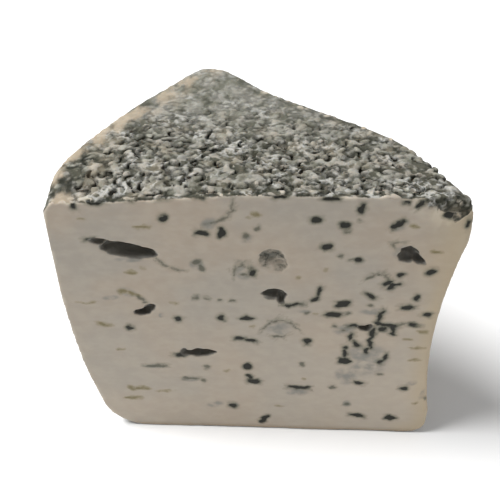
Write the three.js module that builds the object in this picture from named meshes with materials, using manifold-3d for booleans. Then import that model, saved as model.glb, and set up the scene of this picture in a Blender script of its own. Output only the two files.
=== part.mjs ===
// A wedge of blue cheese, cut from a flat wheel: millimetres, +Z up.
//
// The wedge is one solid. It is the part of a wheel of cheese that lies between a front cut and
// a second cut, with a blunt, worn tip where the two cuts nearly meet. The rind is on the top and
// on the curved side, and the larger eyes of the paste open on the cut faces.
//
// It is built around the wheel's axis (x = 0, y = 0), with the front cut on the plane y = 0 and
// facing -Y, the curved side at -X and the tip at +X. At the end it is moved so that the origin
// is the centre of its box, on the flat bottom.

import * as THREE from 'three';
import { mergeVertices } from 'three/addons/utils/BufferGeometryUtils.js';
import Module from 'manifold-3d';

// Driving dimensions
const WHEEL_RADIUS = 100;
const WHEEL_HEIGHT = 84.5;
const CUT_ANGLE = THREE.MathUtils.degToRad(37.5); // between the front cut and the second cut
const CUT_OFFSET = 13; // how far from the wheel's axis the second cut passes

// The wheel's outline
const FOOT = { width: 18, height: 15 }; // the large soft edge that the wheel stood on
const SIDE_LEAN = 3.8; // how much narrower the wheel is just above the foot
const SIDE_SWELL = 0.6; // how far the side's curve is held back below its widest place
const SHOULDER = { width: 4, height: 7 };
const DOME_EDGE = 0.8; // the share of the radius where the top starts to fall
const DOME_FALL = 0.5; // from there down to the shoulder
const WHEEL_STEPS = 120;
const CURVE_STEPS = 8;

// The two corners of the plan
const APEX_ROUND = 9; // where the second cut meets the curved side
const APEX_SPREAD = 0.12; // how far round the wheel that rounding runs, in radians
const APEX_CLEAR = 1.03; // it ends just outside the wheel, at this share of the radius
const TIP_REACH = 14; // where the second cut starts to bend round to the tip

// The low mound of rind on the top, by the apex
const MOUND = { x: -63, y: 62, radius: 26, depth: 8, lift: 2.2 };
const MOUND_CORE = 97; // the mound stays within this radius of the wheel's axis
const BALL_STEPS = 40;

// Worn places where the front cut meets the top: each is a flat through three points
const WORN_SHOULDER = [
  [-100, 0, 81.1],
  [-55, 0, 84.4],
  [-100, 13, 84.5],
];
const WORN_TIP = [
  [-10, 0, 83],
  [0, 0, 75.5],
  [0, 1.93, 84.5],
];

// The worn tip, seen along its blunt end
const TIP_HEADING = THREE.MathUtils.degToRad(28);
const TIP_CORNER = { width: 4, height: 3 }; // the rounded top corner
const TIP_WAIST = { depth: 2.9, from: 10, to: 72 }; // a shallow hollow between two heights
const TIP_TOE = { width: 5, height: 7 }; // the rounded bottom corner
const MARGIN = 20; // how far a cutting shape reaches past what it cuts

// Eyes: centre along the face, left to right from outside, and up from the bottom, then size
// and tilt in degrees. The front cut starts at the curved side, the second cut at its middle.
const EYE_DETAIL = 2;
const FRONT_EYES = [
  { along: 17.5, up: 67.3, width: 16, height: 4.8, depth: 5, tilt: -12 },
  { along: 20.5, up: 47.2, width: 5.2, height: 3.2, depth: 3, tilt: 30 },
  { along: 33.8, up: 32, width: 10, height: 2.6, depth: 4, tilt: 3 },
  { along: 54.3, up: 53.8, width: 6.2, height: 3.6, depth: 3, tilt: -8 },
  { along: 53.6, up: 65.6, width: 6.4, height: 6.4, depth: 1, tilt: 0 },
  { along: 87.2, up: 67.8, width: 7, height: 4.4, depth: 3.5, tilt: -32 },
  { along: 78.4, up: 43, width: 3.6, height: 2.4, depth: 2, tilt: 10 },
];
const SECOND_EYES = [
  { along: 86, up: 58, width: 9, height: 3.6, depth: 4, tilt: 9 },
  { along: 79, up: 27, width: 6, height: 3, depth: 3, tilt: -14 },
  { along: 68, up: 66, width: 4.4, height: 3.4, depth: 2.6, tilt: 20 },
  { along: 62, up: 44, width: 12, height: 4.2, depth: 4.5, tilt: -6 },
  { along: 49, up: 21, width: 7.5, height: 2.8, depth: 3, tilt: 4 },
  { along: 43, up: 60, width: 5.4, height: 3.2, depth: 3, tilt: -25 },
];

const wasm = await Module();
wasm.setup();

/** A closed three.js geometry as a solid. */
function solidFrom(geometry) {
  const bare = geometry.clone();
  bare.deleteAttribute('normal');
  bare.deleteAttribute('uv');
  const merged = mergeVertices(bare, 1e-4);
  return new wasm.Manifold(
    new wasm.Mesh({
      numProp: 3,
      vertProperties: Float32Array.from(merged.attributes.position.array),
      triVerts: Uint32Array.from(merged.index.array),
    })
  );
}

/** A solid as a three.js geometry. */
function geometryFrom(solid) {
  const mesh = solid.getMesh();
  const geometry = new THREE.BufferGeometry();
  geometry.setAttribute('position', new THREE.BufferAttribute(mesh.vertProperties, 3));
  geometry.setIndex(new THREE.BufferAttribute(mesh.triVerts, 1));
  return geometry;
}

/** The whole wheel: a lathed outline with a soft foot and a rounded shoulder. */
function wheel() {
  const shoulderTop = WHEEL_HEIGHT - DOME_FALL;
  const sideTop = shoulderTop - SHOULDER.height;
  const footRadius = WHEEL_RADIUS - SIDE_LEAN;
  const outline = new THREE.Path();
  outline.moveTo(0, 0);
  outline.lineTo(WHEEL_RADIUS - FOOT.width, 0);
  outline.quadraticCurveTo(footRadius - FOOT.width / 5, 0, footRadius, FOOT.height);
  outline.quadraticCurveTo(WHEEL_RADIUS - SIDE_SWELL, sideTop / 2, WHEEL_RADIUS, sideTop);
  outline.quadraticCurveTo(WHEEL_RADIUS, shoulderTop, WHEEL_RADIUS - SHOULDER.width, shoulderTop);
  outline.lineTo(WHEEL_RADIUS * DOME_EDGE, WHEEL_HEIGHT);
  outline.lineTo(0, WHEEL_HEIGHT);
  const lathed = new THREE.LatheGeometry(outline.getPoints(CURVE_STEPS), WHEEL_STEPS);
  return solidFrom(lathed.rotateX(Math.PI / 2)); // the lathe turns about Y, the wheel about Z
}

/** The mound by the apex, as a flat ball that doesn't reach the curved side. */
function mound() {
  const { x, y, radius, depth, lift } = MOUND;
  const ball = new THREE.SphereGeometry(1, BALL_STEPS, BALL_STEPS / 2).rotateX(Math.PI / 2);
  ball.scale(radius, radius, depth).translate(x, y, WHEEL_HEIGHT + lift - depth);
  const core = new THREE.CylinderGeometry(MOUND_CORE, MOUND_CORE, 2 * WHEEL_HEIGHT, WHEEL_STEPS);
  core.rotateX(Math.PI / 2).translate(0, 0, WHEEL_HEIGHT);
  return solidFrom(ball).intersect(solidFrom(core));
}

/** A block whose lower face is the flat through three points, to cut away what lies above it. */
function wornFlat(points) {
  const [a, b, c] = points.map((point) => new THREE.Vector3(...point));
  const along = b.clone().sub(a).normalize();
  const up = along.clone().cross(c.clone().sub(a)).normalize();
  if (up.z < 0) {
    up.negate();
  }
  const across = up.clone().cross(along);
  const block = new THREE.BoxGeometry(2 * WHEEL_RADIUS, 2 * WHEEL_RADIUS, MARGIN);
  const centre = a.clone().addScaledVector(up, MARGIN / 2);
  const place = new THREE.Matrix4().makeBasis(along, across, up).setPosition(centre);
  return solidFrom(block.applyMatrix4(place));
}

/** A flat shape drawn out along Z. */
function extruded(shape, depth) {
  return new THREE.ExtrudeGeometry(shape, {
    depth,
    bevelEnabled: false,
    curveSegments: CURVE_STEPS,
  });
}

/** The second cut in plan: its directions, its point nearest the wheel's axis and its apex. */
function secondCut() {
  const along = new THREE.Vector2(Math.cos(CUT_ANGLE), -Math.sin(CUT_ANGLE));
  const out = new THREE.Vector2(Math.sin(CUT_ANGLE), Math.cos(CUT_ANGLE));
  const middle = out.clone().multiplyScalar(CUT_OFFSET);
  const half = Math.sqrt(WHEEL_RADIUS ** 2 - CUT_OFFSET ** 2);
  const apex = middle.clone().addScaledVector(along, -half);
  return { along, out, middle, apex };
}

/** The slice's plan: both cuts, the bent tip and a rounded apex, open past the curved side. */
function plan() {
  const { along, middle, apex } = secondCut();
  const bend = middle.clone().addScaledVector(along, -TIP_REACH);
  const control = middle.clone().addScaledVector(along, -TIP_REACH / 3);
  const apexStart = apex.clone().addScaledVector(along, APEX_ROUND);
  const apexEnd = apex.clone().multiplyScalar(APEX_CLEAR);
  apexEnd.rotateAround(new THREE.Vector2(), APEX_SPREAD);
  const shape = new THREE.Shape();
  shape.moveTo(-WHEEL_RADIUS - MARGIN, 0);
  shape.lineTo(0, 0);
  shape.quadraticCurveTo(control.x, control.y, bend.x, bend.y);
  shape.lineTo(apexStart.x, apexStart.y);
  shape.quadraticCurveTo(apex.x, apex.y, apexEnd.x, apexEnd.y);
  shape.lineTo(-WHEEL_RADIUS - MARGIN, apexEnd.y);
  const depth = WHEEL_HEIGHT + 2 * MARGIN;
  const slab = extruded(shape, depth);
  return solidFrom(slab.translate(0, 0, -MARGIN));
}

/** The tip's side view, kept to the left of its worn outline and extruded across the tip. */
function wornTip() {
  const back = -2 * WHEEL_RADIUS;
  const overTop = WHEEL_HEIGHT + MARGIN;
  const third = (TIP_WAIST.to - TIP_WAIST.from) / 3;
  const hollow = (-TIP_WAIST.depth * 4) / 3;
  const shape = new THREE.Shape();
  shape.moveTo(back, -MARGIN);
  shape.lineTo(-TIP_TOE.width, -MARGIN);
  shape.lineTo(-TIP_TOE.width, 0);
  shape.quadraticCurveTo(0, 0, 0, TIP_TOE.height);
  shape.lineTo(0, TIP_WAIST.from);
  shape.bezierCurveTo(hollow, TIP_WAIST.from + third, hollow, TIP_WAIST.to - third, 0, TIP_WAIST.to);
  shape.lineTo(0, WHEEL_HEIGHT - TIP_CORNER.height);
  shape.quadraticCurveTo(0, WHEEL_HEIGHT, -TIP_CORNER.width, WHEEL_HEIGHT);
  shape.lineTo(-TIP_CORNER.width, overTop);
  shape.lineTo(back, overTop);
  const depth = 4 * WHEEL_RADIUS;
  const slab = extruded(shape, depth);
  slab.translate(0, 0, -depth / 2).rotateX(Math.PI / 2).rotateZ(TIP_HEADING);
  return solidFrom(slab);
}

/** One eye: a rounded hollow with its centre on a cut face. */
function eye(face, { along, up, width, height, depth, tilt }) {
  const blob = new THREE.IcosahedronGeometry(1, EYE_DETAIL);
  blob.scale(width / 2, depth, height / 2).rotateY(-THREE.MathUtils.degToRad(tilt));
  const right = new THREE.Vector3(face.along.x, face.along.y, 0);
  const inward = new THREE.Vector3(-face.out.x, -face.out.y, 0);
  const centre = new THREE.Vector3(face.start.x, face.start.y, up).addScaledVector(right, along);
  const place = new THREE.Matrix4().makeBasis(right, inward, new THREE.Vector3(0, 0, 1));
  return solidFrom(blob.applyMatrix4(place.setPosition(centre)));
}

/** The wedge, in the wheel's own frame. */
function wedge() {
  const front = {
    start: new THREE.Vector2(-WHEEL_RADIUS, 0),
    along: new THREE.Vector2(1, 0),
    out: new THREE.Vector2(0, -1),
  };
  const cut = secondCut();
  const second = { start: cut.middle, along: cut.along.clone().negate(), out: cut.out };
  let solid = wheel().add(mound()).intersect(plan()).intersect(wornTip());
  solid = solid.subtract(wornFlat(WORN_SHOULDER)).subtract(wornFlat(WORN_TIP));
  for (const size of FRONT_EYES) {
    solid = solid.subtract(eye(front, size));
  }
  for (const size of SECOND_EYES) {
    solid = solid.subtract(eye(second, size));
  }
  return solid;
}

/** Moves a geometry so that the origin is the centre of the bottom of its box. */
function standOnOrigin(geometry) {
  geometry.computeBoundingBox();
  const { min, max } = geometry.boundingBox;
  return geometry.translate(-(min.x + max.x) / 2, -(min.y + max.y) / 2, -min.z);
}

const paste = new THREE.MeshStandardMaterial({
  name: 'paste',
  color: 0xd8cdb8,
  roughness: 0.5,
  metalness: 0,
});

const cheese = new THREE.Mesh(standOnOrigin(geometryFrom(wedge())), paste);
cheese.name = 'cheese_wedge';

const part = new THREE.Group();
part.add(cheese);

export default part;
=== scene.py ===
"""A wedge of blue cheese on a pale floor.

The wedge is one watertight mesh. Its shape is worked out as a field of distances in
millimetres, round the axis of the wheel that it was cut from: the cuts, the rind with its
curd beads, and the eyes of the paste. The same distances tell the material where the rind, the
mould and the stains are. Lengths are in millimetres until the mesh is made.
"""

import math

import bpy
import numpy as np
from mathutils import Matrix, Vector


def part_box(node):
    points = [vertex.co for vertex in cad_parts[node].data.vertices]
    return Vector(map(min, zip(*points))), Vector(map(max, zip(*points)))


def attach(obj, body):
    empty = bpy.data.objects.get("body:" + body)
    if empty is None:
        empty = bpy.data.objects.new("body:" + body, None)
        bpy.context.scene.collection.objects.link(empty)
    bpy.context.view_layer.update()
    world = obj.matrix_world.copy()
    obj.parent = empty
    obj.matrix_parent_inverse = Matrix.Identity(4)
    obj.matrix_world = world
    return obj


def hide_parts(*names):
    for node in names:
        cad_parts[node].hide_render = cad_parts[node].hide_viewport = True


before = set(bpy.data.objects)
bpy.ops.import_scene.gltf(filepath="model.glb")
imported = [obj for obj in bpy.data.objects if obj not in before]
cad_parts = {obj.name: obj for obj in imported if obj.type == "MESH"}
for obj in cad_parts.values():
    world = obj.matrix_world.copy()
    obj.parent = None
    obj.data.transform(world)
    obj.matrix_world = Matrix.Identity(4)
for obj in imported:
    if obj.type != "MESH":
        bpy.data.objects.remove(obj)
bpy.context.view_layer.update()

import openvdb
from mathutils import Vector

NODE = "cheese_wedge"
MM = 0.001

# The wheel and the cuts, as in the CAD part. The front cut is one radius of the wheel long.
LOW, HIGH = (np.array(corner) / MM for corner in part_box(NODE))
WHEEL_RADIUS = float(HIGH[0] - LOW[0])
APEX_LIFT = 2.2
WHEEL_HEIGHT = float(HIGH[2] - LOW[2]) - APEX_LIFT
WHEEL_AXIS = LOW + (WHEEL_RADIUS, 0, 0)
CORNER = np.array((-WHEEL_RADIUS, 0, 0))  # the part's low corner, seen from the wheel's axis
CUT_ANGLE = math.radians(37.5)
CUT_OFFSET = 13.0
TIP_HEADING = math.radians(28)
TIP_WAIST = {"depth": 2.9, "low": 10, "high": 72}
DOME_FALL = 3.4
DOME_START = 0.45  # as a share of the wheel's radius
WORN_CORNER = 12  # how far behind the front cut the fallen edge of the dome reaches
APEX_PLACE = (-0.63, 0.62)  # from the wheel's axis, as shares of its radius
APEX_REACH = 19
TIP_PROUD = 0.9  # makes up for the tip's rounded edge
SIDE_LEAN = 6.4
LEAN_HEIGHT = 55
LEAN_CURVE = 1.6
SIDE_BULGE = 1.2
BULGE_HEIGHTS = (6, 30)
SIDE_DENT = 2.9
DENT_DEPTHS = (8, 40)
DENT_HEIGHTS = (55, 78)
WORN_TIP = {"reach": 10, "below": 1.5, "slope": (0.6, 0.8), "lay": math.radians(15)}

# Fillets and the knife's traces
SHOULDER_ROUND = 4
FOOT_ROUND = 10
TIP_TOP_ROUND = 3.5  # at the front cut
TIP_TOP_LEAST = 1.5  # further along the tip
TIP_TOP_CHANGE = (1, 15)
TIP_FOOT_ROUND = 6
TIP_BEND = 5
APEX_ROUND = 9
KNIFE_EDGE = 0.5
KNIFE_WAVES = ((0.10, 16), (0.03, 2.5))  # strengths and sizes
TIP_EDGE = 1.6

# The voxel field
VOXEL = 0.4
FIELD_MARGIN = 2.4
SHELL = 3.0  # how far from the surface the field is worked out
MARK_REACH = 2.0  # how far outside a mark its distance is still worked out

# The rind
GROOVE = 0.48
# The least and greatest radius of each size of bead, and how many are tried
BEAD_SIZES = ((0.95, 1.2, 4200), (0.64, 0.84, 32000), (0.44, 0.56, 70000))
BEAD_SPACING = 0.76
BEAD_TRIES = 900000
BEAD_WARP = 0.5
BEAD_UNDER = 1  # how far under the surface their places are
BEAD_NEAR = 1.5  # how far from there a place may be when it is picked
BEAD_PAST_CUT = 0.6
BEAD_FLAT = (0.55, 0.85)
BEAD_STRETCH = (1.0, 1.6)
BEAD_SUNK = 0.5
BEAD_RAISED = 0.4  # before the beads' tops are worn flat
BEAD_WEAR = {"above": 0.1, "round": 0.5}
BEAD_FUSED = 0.4  # how far the curd melts into the rind under it
CRESCENT = {"share": 0.62, "shift": 0.42, "tilt": 0.25, "size": 1.16, "reach": 1.6}
CRESCENT_EDGE = 0.2
LEAST_GROOVE = 0.02  # shallower than this, the rind is plain
CURD_ROLL = ((0.35, 11), (0.25, 1.3))  # strengths and sizes
# Where the rind is calmer: by what share, and from and to which distance
CALM_FOOT = (0.75, -3, -0.5)
CALM_CUT = (0.5, -2.0, -0.4)
CALM_BACK = (0.45, 20, 65)
CALM_SHOULDER = (0.4, -9, -3)
CALM_SIDE = 0.3

# The marks of the paste
MARK_DEPTH = 0.8
HAZE_DEPTH = 3.0
CRACK_WIDTH = 0.25
CRACK_OVERLAP = 1.25
EYE_EDGE = 0.5
FILLED_EDGE = 0.8
RAGGED = {"reach": 0.45, "size": 2.2, "flat": 1.6}
SCATTER = {"start": 6, "foot": 4, "top": 5, "flat": (0.25, 0.7), "tilt": 14}
EDGED_MARKS = ("hole", "filled", "mould", "faint", "stain")

SEED = 7


# ----------------------------------------
# Fields


def lattice_noise(x, y, z, size, seed):
    """Smooth noise from -1 to 1, with lumps about size across."""
    side = 32
    lattice = np.random.default_rng(seed).uniform(-1, 1, (side, side, side)).astype(np.float32)
    cells, fades = [], []
    for value in (x, y, z):
        scaled = value / size
        low = np.floor(scaled)
        part = (scaled - low).astype(np.float32)
        cells.append(low.astype(np.int32))
        fades.append(part * part * (3 - 2 * part))
    total = 0
    for corner in range(8):
        weight = 1
        index = []
        for axis in range(3):
            step = corner >> axis & 1
            weight = weight * (fades[axis] if step else 1 - fades[axis])
            index.append((cells[axis] + step) % side)
        total = total + weight * lattice[tuple(index)]
    return total


def noise(x, y, z, size, seed, octaves=1):
    """Layers of smooth noise, each with half the size and strength of the one before."""
    total, strength = 0, 1.0
    for octave in range(octaves):
        total = total + strength * lattice_noise(x, y, z, size / 2**octave, seed + octave)
        strength *= 0.5
    return total


def waves(x, y, z, layers, seed):
    """Noise of several strengths and sizes."""
    total = 0
    for number, (strength, size) in enumerate(layers):
        total = total + strength * noise(x, y, z, size, seed + number)
    return total


def smoothstep(low, high, value):
    """0 below low, 1 above high and smooth between."""
    part = np.clip((value - low) / (high - low), 0, 1)
    return part * part * (3 - 2 * part)


def fillet(a, b, radius):
    """The part inside both a and b, with the edge between them rounded."""
    over_a, over_b = np.maximum(a + radius, 0), np.maximum(b + radius, 0)
    return np.minimum(np.maximum(a, b), -radius) + np.hypot(over_a, over_b)


def blend_low(a, b, reach):
    """The smaller of two fields, blended where they are within reach of each other."""
    part = np.clip(0.5 + 0.5 * (b - a) / reach, 0, 1)
    return b + (a - b) * part - reach * part * (1 - part)


class Wedge:
    """The distances of some points to each face of the plain wedge."""

    def __init__(self, x, y, z):
        radius = np.hypot(x, y)
        lean = SIDE_LEAN * np.clip(1 - z / LEAN_HEIGHT, 0, 1) ** LEAN_CURVE
        self.side = radius - WHEEL_RADIUS + lean + side_dent(y, z)
        worn = smoothstep(WHEEL_RADIUS * DOME_START, WHEEL_RADIUS, radius)
        worn = worn * (1 - smoothstep(0, WORN_CORNER, y))
        self.top = z - WHEEL_HEIGHT + DOME_FALL * worn - apex_lift(x, y)
        self.bottom = -z
        self.front = -y
        out = math.sin(CUT_ANGLE), math.cos(CUT_ANGLE)
        self.second = x * out[0] + y * out[1] - CUT_OFFSET
        tip = x * math.cos(TIP_HEADING) + y * math.sin(TIP_HEADING)
        self.tip = tip + tip_waist(z) - TIP_PROUD
        across, up = WORN_TIP["slope"]
        above = (x + WORN_TIP["reach"]) * across + (z - WHEEL_HEIGHT + WORN_TIP["below"]) * up
        self.worn_tip = above * math.sin(WORN_TIP["lay"]) - y * math.cos(WORN_TIP["lay"])

    def rind(self):
        """The outside of the wheel, with the tip's worn corners."""
        shell = fillet(self.side, self.top, SHOULDER_ROUND)
        shell = np.maximum(shell, fillet(self.side, self.bottom, FOOT_ROUND))
        along = smoothstep(*TIP_TOP_CHANGE, -self.front)
        tip_round = TIP_TOP_ROUND + (TIP_TOP_LEAST - TIP_TOP_ROUND) * along
        shell = np.maximum(shell, fillet(self.tip, self.top, tip_round))
        shell = np.maximum(shell, self.worn_tip)
        return np.maximum(shell, fillet(self.tip, self.bottom, TIP_FOOT_ROUND))

    def cut(self):
        """The faces that the knife made, and the tip."""
        shell = -blend_low(-self.second, -self.tip, TIP_BEND)
        shell = np.maximum(shell, fillet(self.second, self.side, APEX_ROUND))
        return np.maximum(shell, fillet(self.front, self.tip, TIP_EDGE))


def apex_lift(x, y):
    """The low bump where the top reaches the back corner."""
    across, back = APEX_PLACE
    away = np.hypot(x - WHEEL_RADIUS * across, y - WHEEL_RADIUS * back)
    return APEX_LIFT * (1 - smoothstep(0, APEX_REACH, away))


def side_dent(y, z):
    """How far the curved side is pressed in: by the top towards the back, less a bulge."""
    dent = SIDE_DENT * smoothstep(*DENT_DEPTHS, y) * smoothstep(*DENT_HEIGHTS, z)
    return dent - SIDE_BULGE * smoothstep(*BULGE_HEIGHTS, z)


def tip_waist(z):
    """How far the tip is drawn in: most at its middle height."""
    part = np.clip((z - TIP_WAIST["low"]) / (TIP_WAIST["high"] - TIP_WAIST["low"]), 0, 1)
    return TIP_WAIST["depth"] * 4 * part * (1 - part)


def plain_field(x, y, z):
    """The wedge before it gets any detail."""
    faces = Wedge(x, y, z)
    return np.maximum(faces.rind(), faces.cut())


# ----------------------------------------
# Marks of the paste: eyes, mould, stains and cracks. Each one is an ellipsoid on a cut face:
# (along, up, width, height, tilt in degrees), measured from the left end of the face. Eyes have
# their depth as well.

FRONT_HOLES = (
    (18.2, 67.2, 13.6, 4.2, -9, 5.0),
    (13.2, 69.4, 8.6, 1.9, -9, 2.5),
    (19.7, 46.6, 4.2, 2.4, 8, 3.0),
    (21.6, 47.9, 3.8, 2.1, 50, 2.5),
    (34.2, 31.9, 9.6, 2.5, 3, 4.0),
    (30.2, 32.5, 1.7, 2.3, 10, 1.5),
    (54.4, 54.2, 6.0, 2.9, -4, 3.0),
    (56.1, 52.6, 1.9, 3.4, 6, 2.5),
    (86.6, 68.0, 4.8, 4.4, -20, 3.5),
    (89.1, 66.6, 4.4, 1.9, -36, 2.5),
    (78.5, 43.1, 3.4, 2.0, 8, 2.0),
)

# Shallow dips that mould has filled
FRONT_FILLED = (
    (53.6, 65.4, 6.6, 6.4, -30),
    (54.8, 64.0, 4.4, 4.0, -20),
)

FRONT_MOULD = (
    # along the rind
    (6.8, 80.8, 0.6, 2.0, 5), (11.9, 81.7, 4.0, 1.1, -6), (20.2, 82.6, 1.7, 1.3, 0),
    (28.4, 83.3, 3.0, 0.9, 18), (36.5, 83.4, 2.2, 0.8, -10), (55.4, 84.2, 2.6, 0.8, 6),
    (67.0, 84.0, 3.4, 0.9, -4), (84.0, 83.3, 1.2, 0.6, -20), (87.4, 82.6, 2.2, 0.6, 52),
    # the last one here, at (74.1, 81.0), is a small eye drawn flat: mould and its painted shade
    (94.6, 80.2, 2.6, 2.0, 55), (99.0, 77.6, 0.9, 2.0, 12), (74.1, 81.0, 1.1, 2.5, -4),
    # upper left
    # the last one here, at (41.3, 73.3), is a small eye drawn flat: mould and its painted shade
    (27.5, 77.3, 1.8, 1.4, 20), (36.6, 73.1, 2.4, 1.1, 0), (41.3, 73.3, 1.3, 2.2, 5),
    (9.3, 70.4, 2.0, 0.6, 12), (48.5, 61.5, 0.9, 2.2, -18),
    # middle left
    (16.0, 40.8, 1.7, 1.4, 10), (29.2, 44.7, 1.6, 1.3, -15), (40.7, 45.4, 1.2, 1.9, 10),
    (47.2, 45.4, 3.0, 1.1, 0), (29.2, 31.2, 3.4, 0.7, 4),
    # lower left
    (47.5, 27.1, 1.9, 1.9, 40), (49.2, 20.9, 3.8, 1.4, -12), (48.2, 22.8, 0.9, 1.6, 0),
    (43.2, 10.2, 2.8, 2.0, 0), (52.4, 4.3, 1.6, 3.2, -32), (45.4, 38.0, 2.6, 0.8, 8),
    (48.3, 37.3, 2.9, 0.8, -22),
    # upper right
    (63.8, 77.9, 2.1, 1.4, 0), (70.6, 76.2, 2.6, 1.5, -8), (83.0, 76.8, 2.7, 0.9, 42),
    (82.3, 76.2, 1.3, 1.0, 0), (67.0, 69.9, 2.6, 2.0, 5), (74.8, 65.7, 1.2, 1.2, 0),
    (92.7, 62.8, 2.1, 1.5, 8), (85.7, 61.6, 1.2, 1.0, 0),
    # middle right
    (83.7, 57.8, 1.4, 2.3, -20), (82.8, 58.9, 2.4, 0.8, 30), (84.9, 58.3, 1.7, 0.7, 25),
    (65.9, 55.4, 0.8, 2.6, -14), (64.8, 53.0, 1.9, 0.8, 35), (78.8, 54.4, 3.0, 1.0, -28),
    (90.4, 54.1, 1.2, 1.1, 30), (72.0, 51.3, 3.2, 1.3, 14), (88.6, 51.0, 2.9, 0.8, 4),
    (94.0, 48.4, 2.2, 1.1, 0), (69.8, 47.6, 3.8, 1.0, 3), (59.2, 50.8, 4.0, 0.5, 4),
    (91.0, 44.6, 2.0, 0.6, -6),
    # the vein cluster
    (82.3, 47.8, 0.8, 3.8, -8), (81.8, 44.9, 1.7, 1.2, 0), (76.2, 43.6, 3.0, 0.5, 6),
    (80.7, 41.4, 0.9, 3.4, -8), (80.5, 37.8, 0.9, 4.4, 6), (79.7, 34.6, 1.2, 2.2, 20),
    (84.2, 44.4, 4.6, 0.9, -6), (85.8, 42.9, 0.9, 3.0, 24), (83.2, 42.8, 1.8, 1.7, 0),
    (86.3, 41.2, 1.4, 0.8, -30), (75.3, 39.4, 0.9, 2.6, -14), (76.9, 37.0, 2.1, 0.9, -34),
    (74.2, 35.7, 1.4, 1.2, 0), (74.3, 33.2, 0.7, 3.0, 0), (74.1, 30.3, 3.0, 2.2, 4),
    (63.5, 37.4, 2.3, 1.5, 12), (84.2, 30.2, 1.5, 0.9, 20), (85.2, 32.2, 0.8, 2.2, -10),
    # lower right
    (62.0, 18.9, 5.6, 0.8, -2), (79.0, 21.6, 2.4, 0.8, -16), (79.6, 7.1, 3.6, 0.9, -8),
    (89.5, 6.7, 3.2, 1.7, -8), (91.6, 19.6, 1.9, 1.3, -6),
)

# Marks where the mould is only beginning
FRONT_FAINT = (
    (47.0, 72.4, 1.6, 1.5, 30), (50.2, 75.0, 1.5, 1.1, 0), (34.8, 64.0, 2.6, 1.3, 10),
    (36.0, 62.2, 1.3, 2.2, 15), (46.6, 60.4, 1.6, 0.6, -20), (19.8, 51.7, 2.0, 1.0, -30),
    (20.6, 50.2, 1.2, 0.8, 0), (34.3, 52.4, 2.0, 0.9, 5), (37.2, 52.2, 1.2, 0.7, -10),
    (40.4, 51.5, 1.0, 0.9, 0), (43.5, 51.6, 1.3, 0.6, 0), (21.8, 26.3, 6.4, 1.0, 4),
    (36.0, 26.2, 2.0, 1.4, 10), (31.4, 21.4, 5.0, 0.9, 4), (34.8, 20.4, 1.0, 1.3, 30),
    (71.1, 74.5, 1.4, 0.5, 0), (65.5, 69.4, 1.4, 0.6, 0), (70.1, 67.0, 1.0, 0.9, 0),
    (73.2, 65.8, 2.2, 0.5, 0), (74.2, 77.6, 0.8, 0.5, 0), (78.2, 60.7, 1.9, 0.8, 12),
    (79.0, 50.9, 1.1, 0.6, 0), (73.4, 48.0, 1.2, 0.7, 15), (62.8, 48.1, 1.1, 0.8, 0),
    (70.5, 43.4, 1.4, 1.3, 0), (72.9, 41.7, 1.1, 0.9, 0), (84.4, 25.4, 1.6, 0.6, 0),
    (62.8, 28.7, 1.2, 1.6, -20), (71.6, 19.4, 1.5, 1.4, 30), (76.4, 12.0, 1.7, 1.1, 0),
    (98.3, 15.6, 0.8, 1.6, 20), (55.5, 39.0, 1.9, 0.8, 0),
)

FRONT_STAINS = (
    (22.4, 74.3, 4.4, 1.0, -3), (49.6, 78.9, 2.4, 1.3, -12), (47.7, 77.9, 1.1, 0.8, 0),
    (18.2, 60.2, 2.7, 1.6, 8), (15.2, 53.8, 2.2, 1.9, 0), (18.0, 53.0, 4.2, 1.3, -16),
    (9.0, 42.1, 4.8, 1.5, -10), (13.8, 16.9, 2.4, 2.0, 0), (16.8, 16.6, 5.0, 1.5, 0),
    (14.0, 12.2, 5.6, 1.5, 4), (8.0, 76.4, 1.9, 0.5, 0), (60.2, 59.6, 1.1, 0.9, 0),
    (67.3, 62.9, 1.1, 0.7, 0), (86.9, 76.4, 2.2, 1.1, -10), (93.0, 69.2, 3.0, 0.8, -4),
    (21.5, 61.8, 1.4, 0.5, 0), (28.4, 50.0, 2.0, 0.5, 0), (63.5, 22.5, 1.3, 0.8, 0),
    (56.6, 10.4, 2.6, 0.7, 0), (41.6, 25.0, 1.9, 0.7, 0), (90.2, 39.4, 3.0, 1.3, 4),
    (94.0, 42.3, 3.2, 1.1, -8), (93.4, 35.8, 4.2, 0.9, 2), (93.0, 31.2, 3.6, 1.1, 0),
    (95.8, 13.4, 1.6, 0.9, 0), (65.2, 47.6, 1.6, 0.4, 0), (12.6, 32.6, 2.2, 0.7, 14),
    (5.4, 49.6, 4.8, 0.5, 0), (23.4, 15.8, 4.0, 0.5, 0), (49.0, 42.4, 1.8, 0.5, 0),
)

FRONT_HAZE = (
    (80.0, 31.0, 15, 17, 10), (84.5, 43.6, 8.0, 5.4, 0), (75.0, 24.0, 8.0, 9.0, 40),
    (73.0, 42.5, 8.0, 6.0, 0), (56.3, 42.0, 9.5, 6.5, 0), (38.5, 76.0, 6.0, 4.4, 30),
    (83.4, 76.6, 6.0, 4.4, 20), (61.6, 17.0, 8.4, 4.4, 0), (38.0, 10.4, 6.4, 3.8, 10),
    (35.0, 63.3, 5.0, 4.4, 0), (12.0, 51.6, 6.0, 2.2, 8), (16.4, 53.6, 7.0, 4.0, -14),
    (76.4, 12.4, 3.4, 3.8, 0), (18.0, 64.3, 9.0, 2.2, 2), (86.0, 68.0, 9.0, 6.4, -20),
    (93.6, 21.8, 4.6, 2.6, 26), (21.6, 26.0, 9.6, 1.8, 2), (31.4, 21.0, 7.0, 2.6, 4),
    (47.8, 71.6, 5.0, 3.0, 20), (46.6, 61.2, 6.4, 6.0, 0), (80.5, 49.0, 10, 3.4, 0),
    (24.8, 45.8, 2.0, 2.6, -30), (43.2, 10.6, 5.0, 3.8, 0), (62.4, 48.4, 5.0, 1.8, 0),
    (97.4, 17.4, 2.0, 6.4, -12),
)

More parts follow.
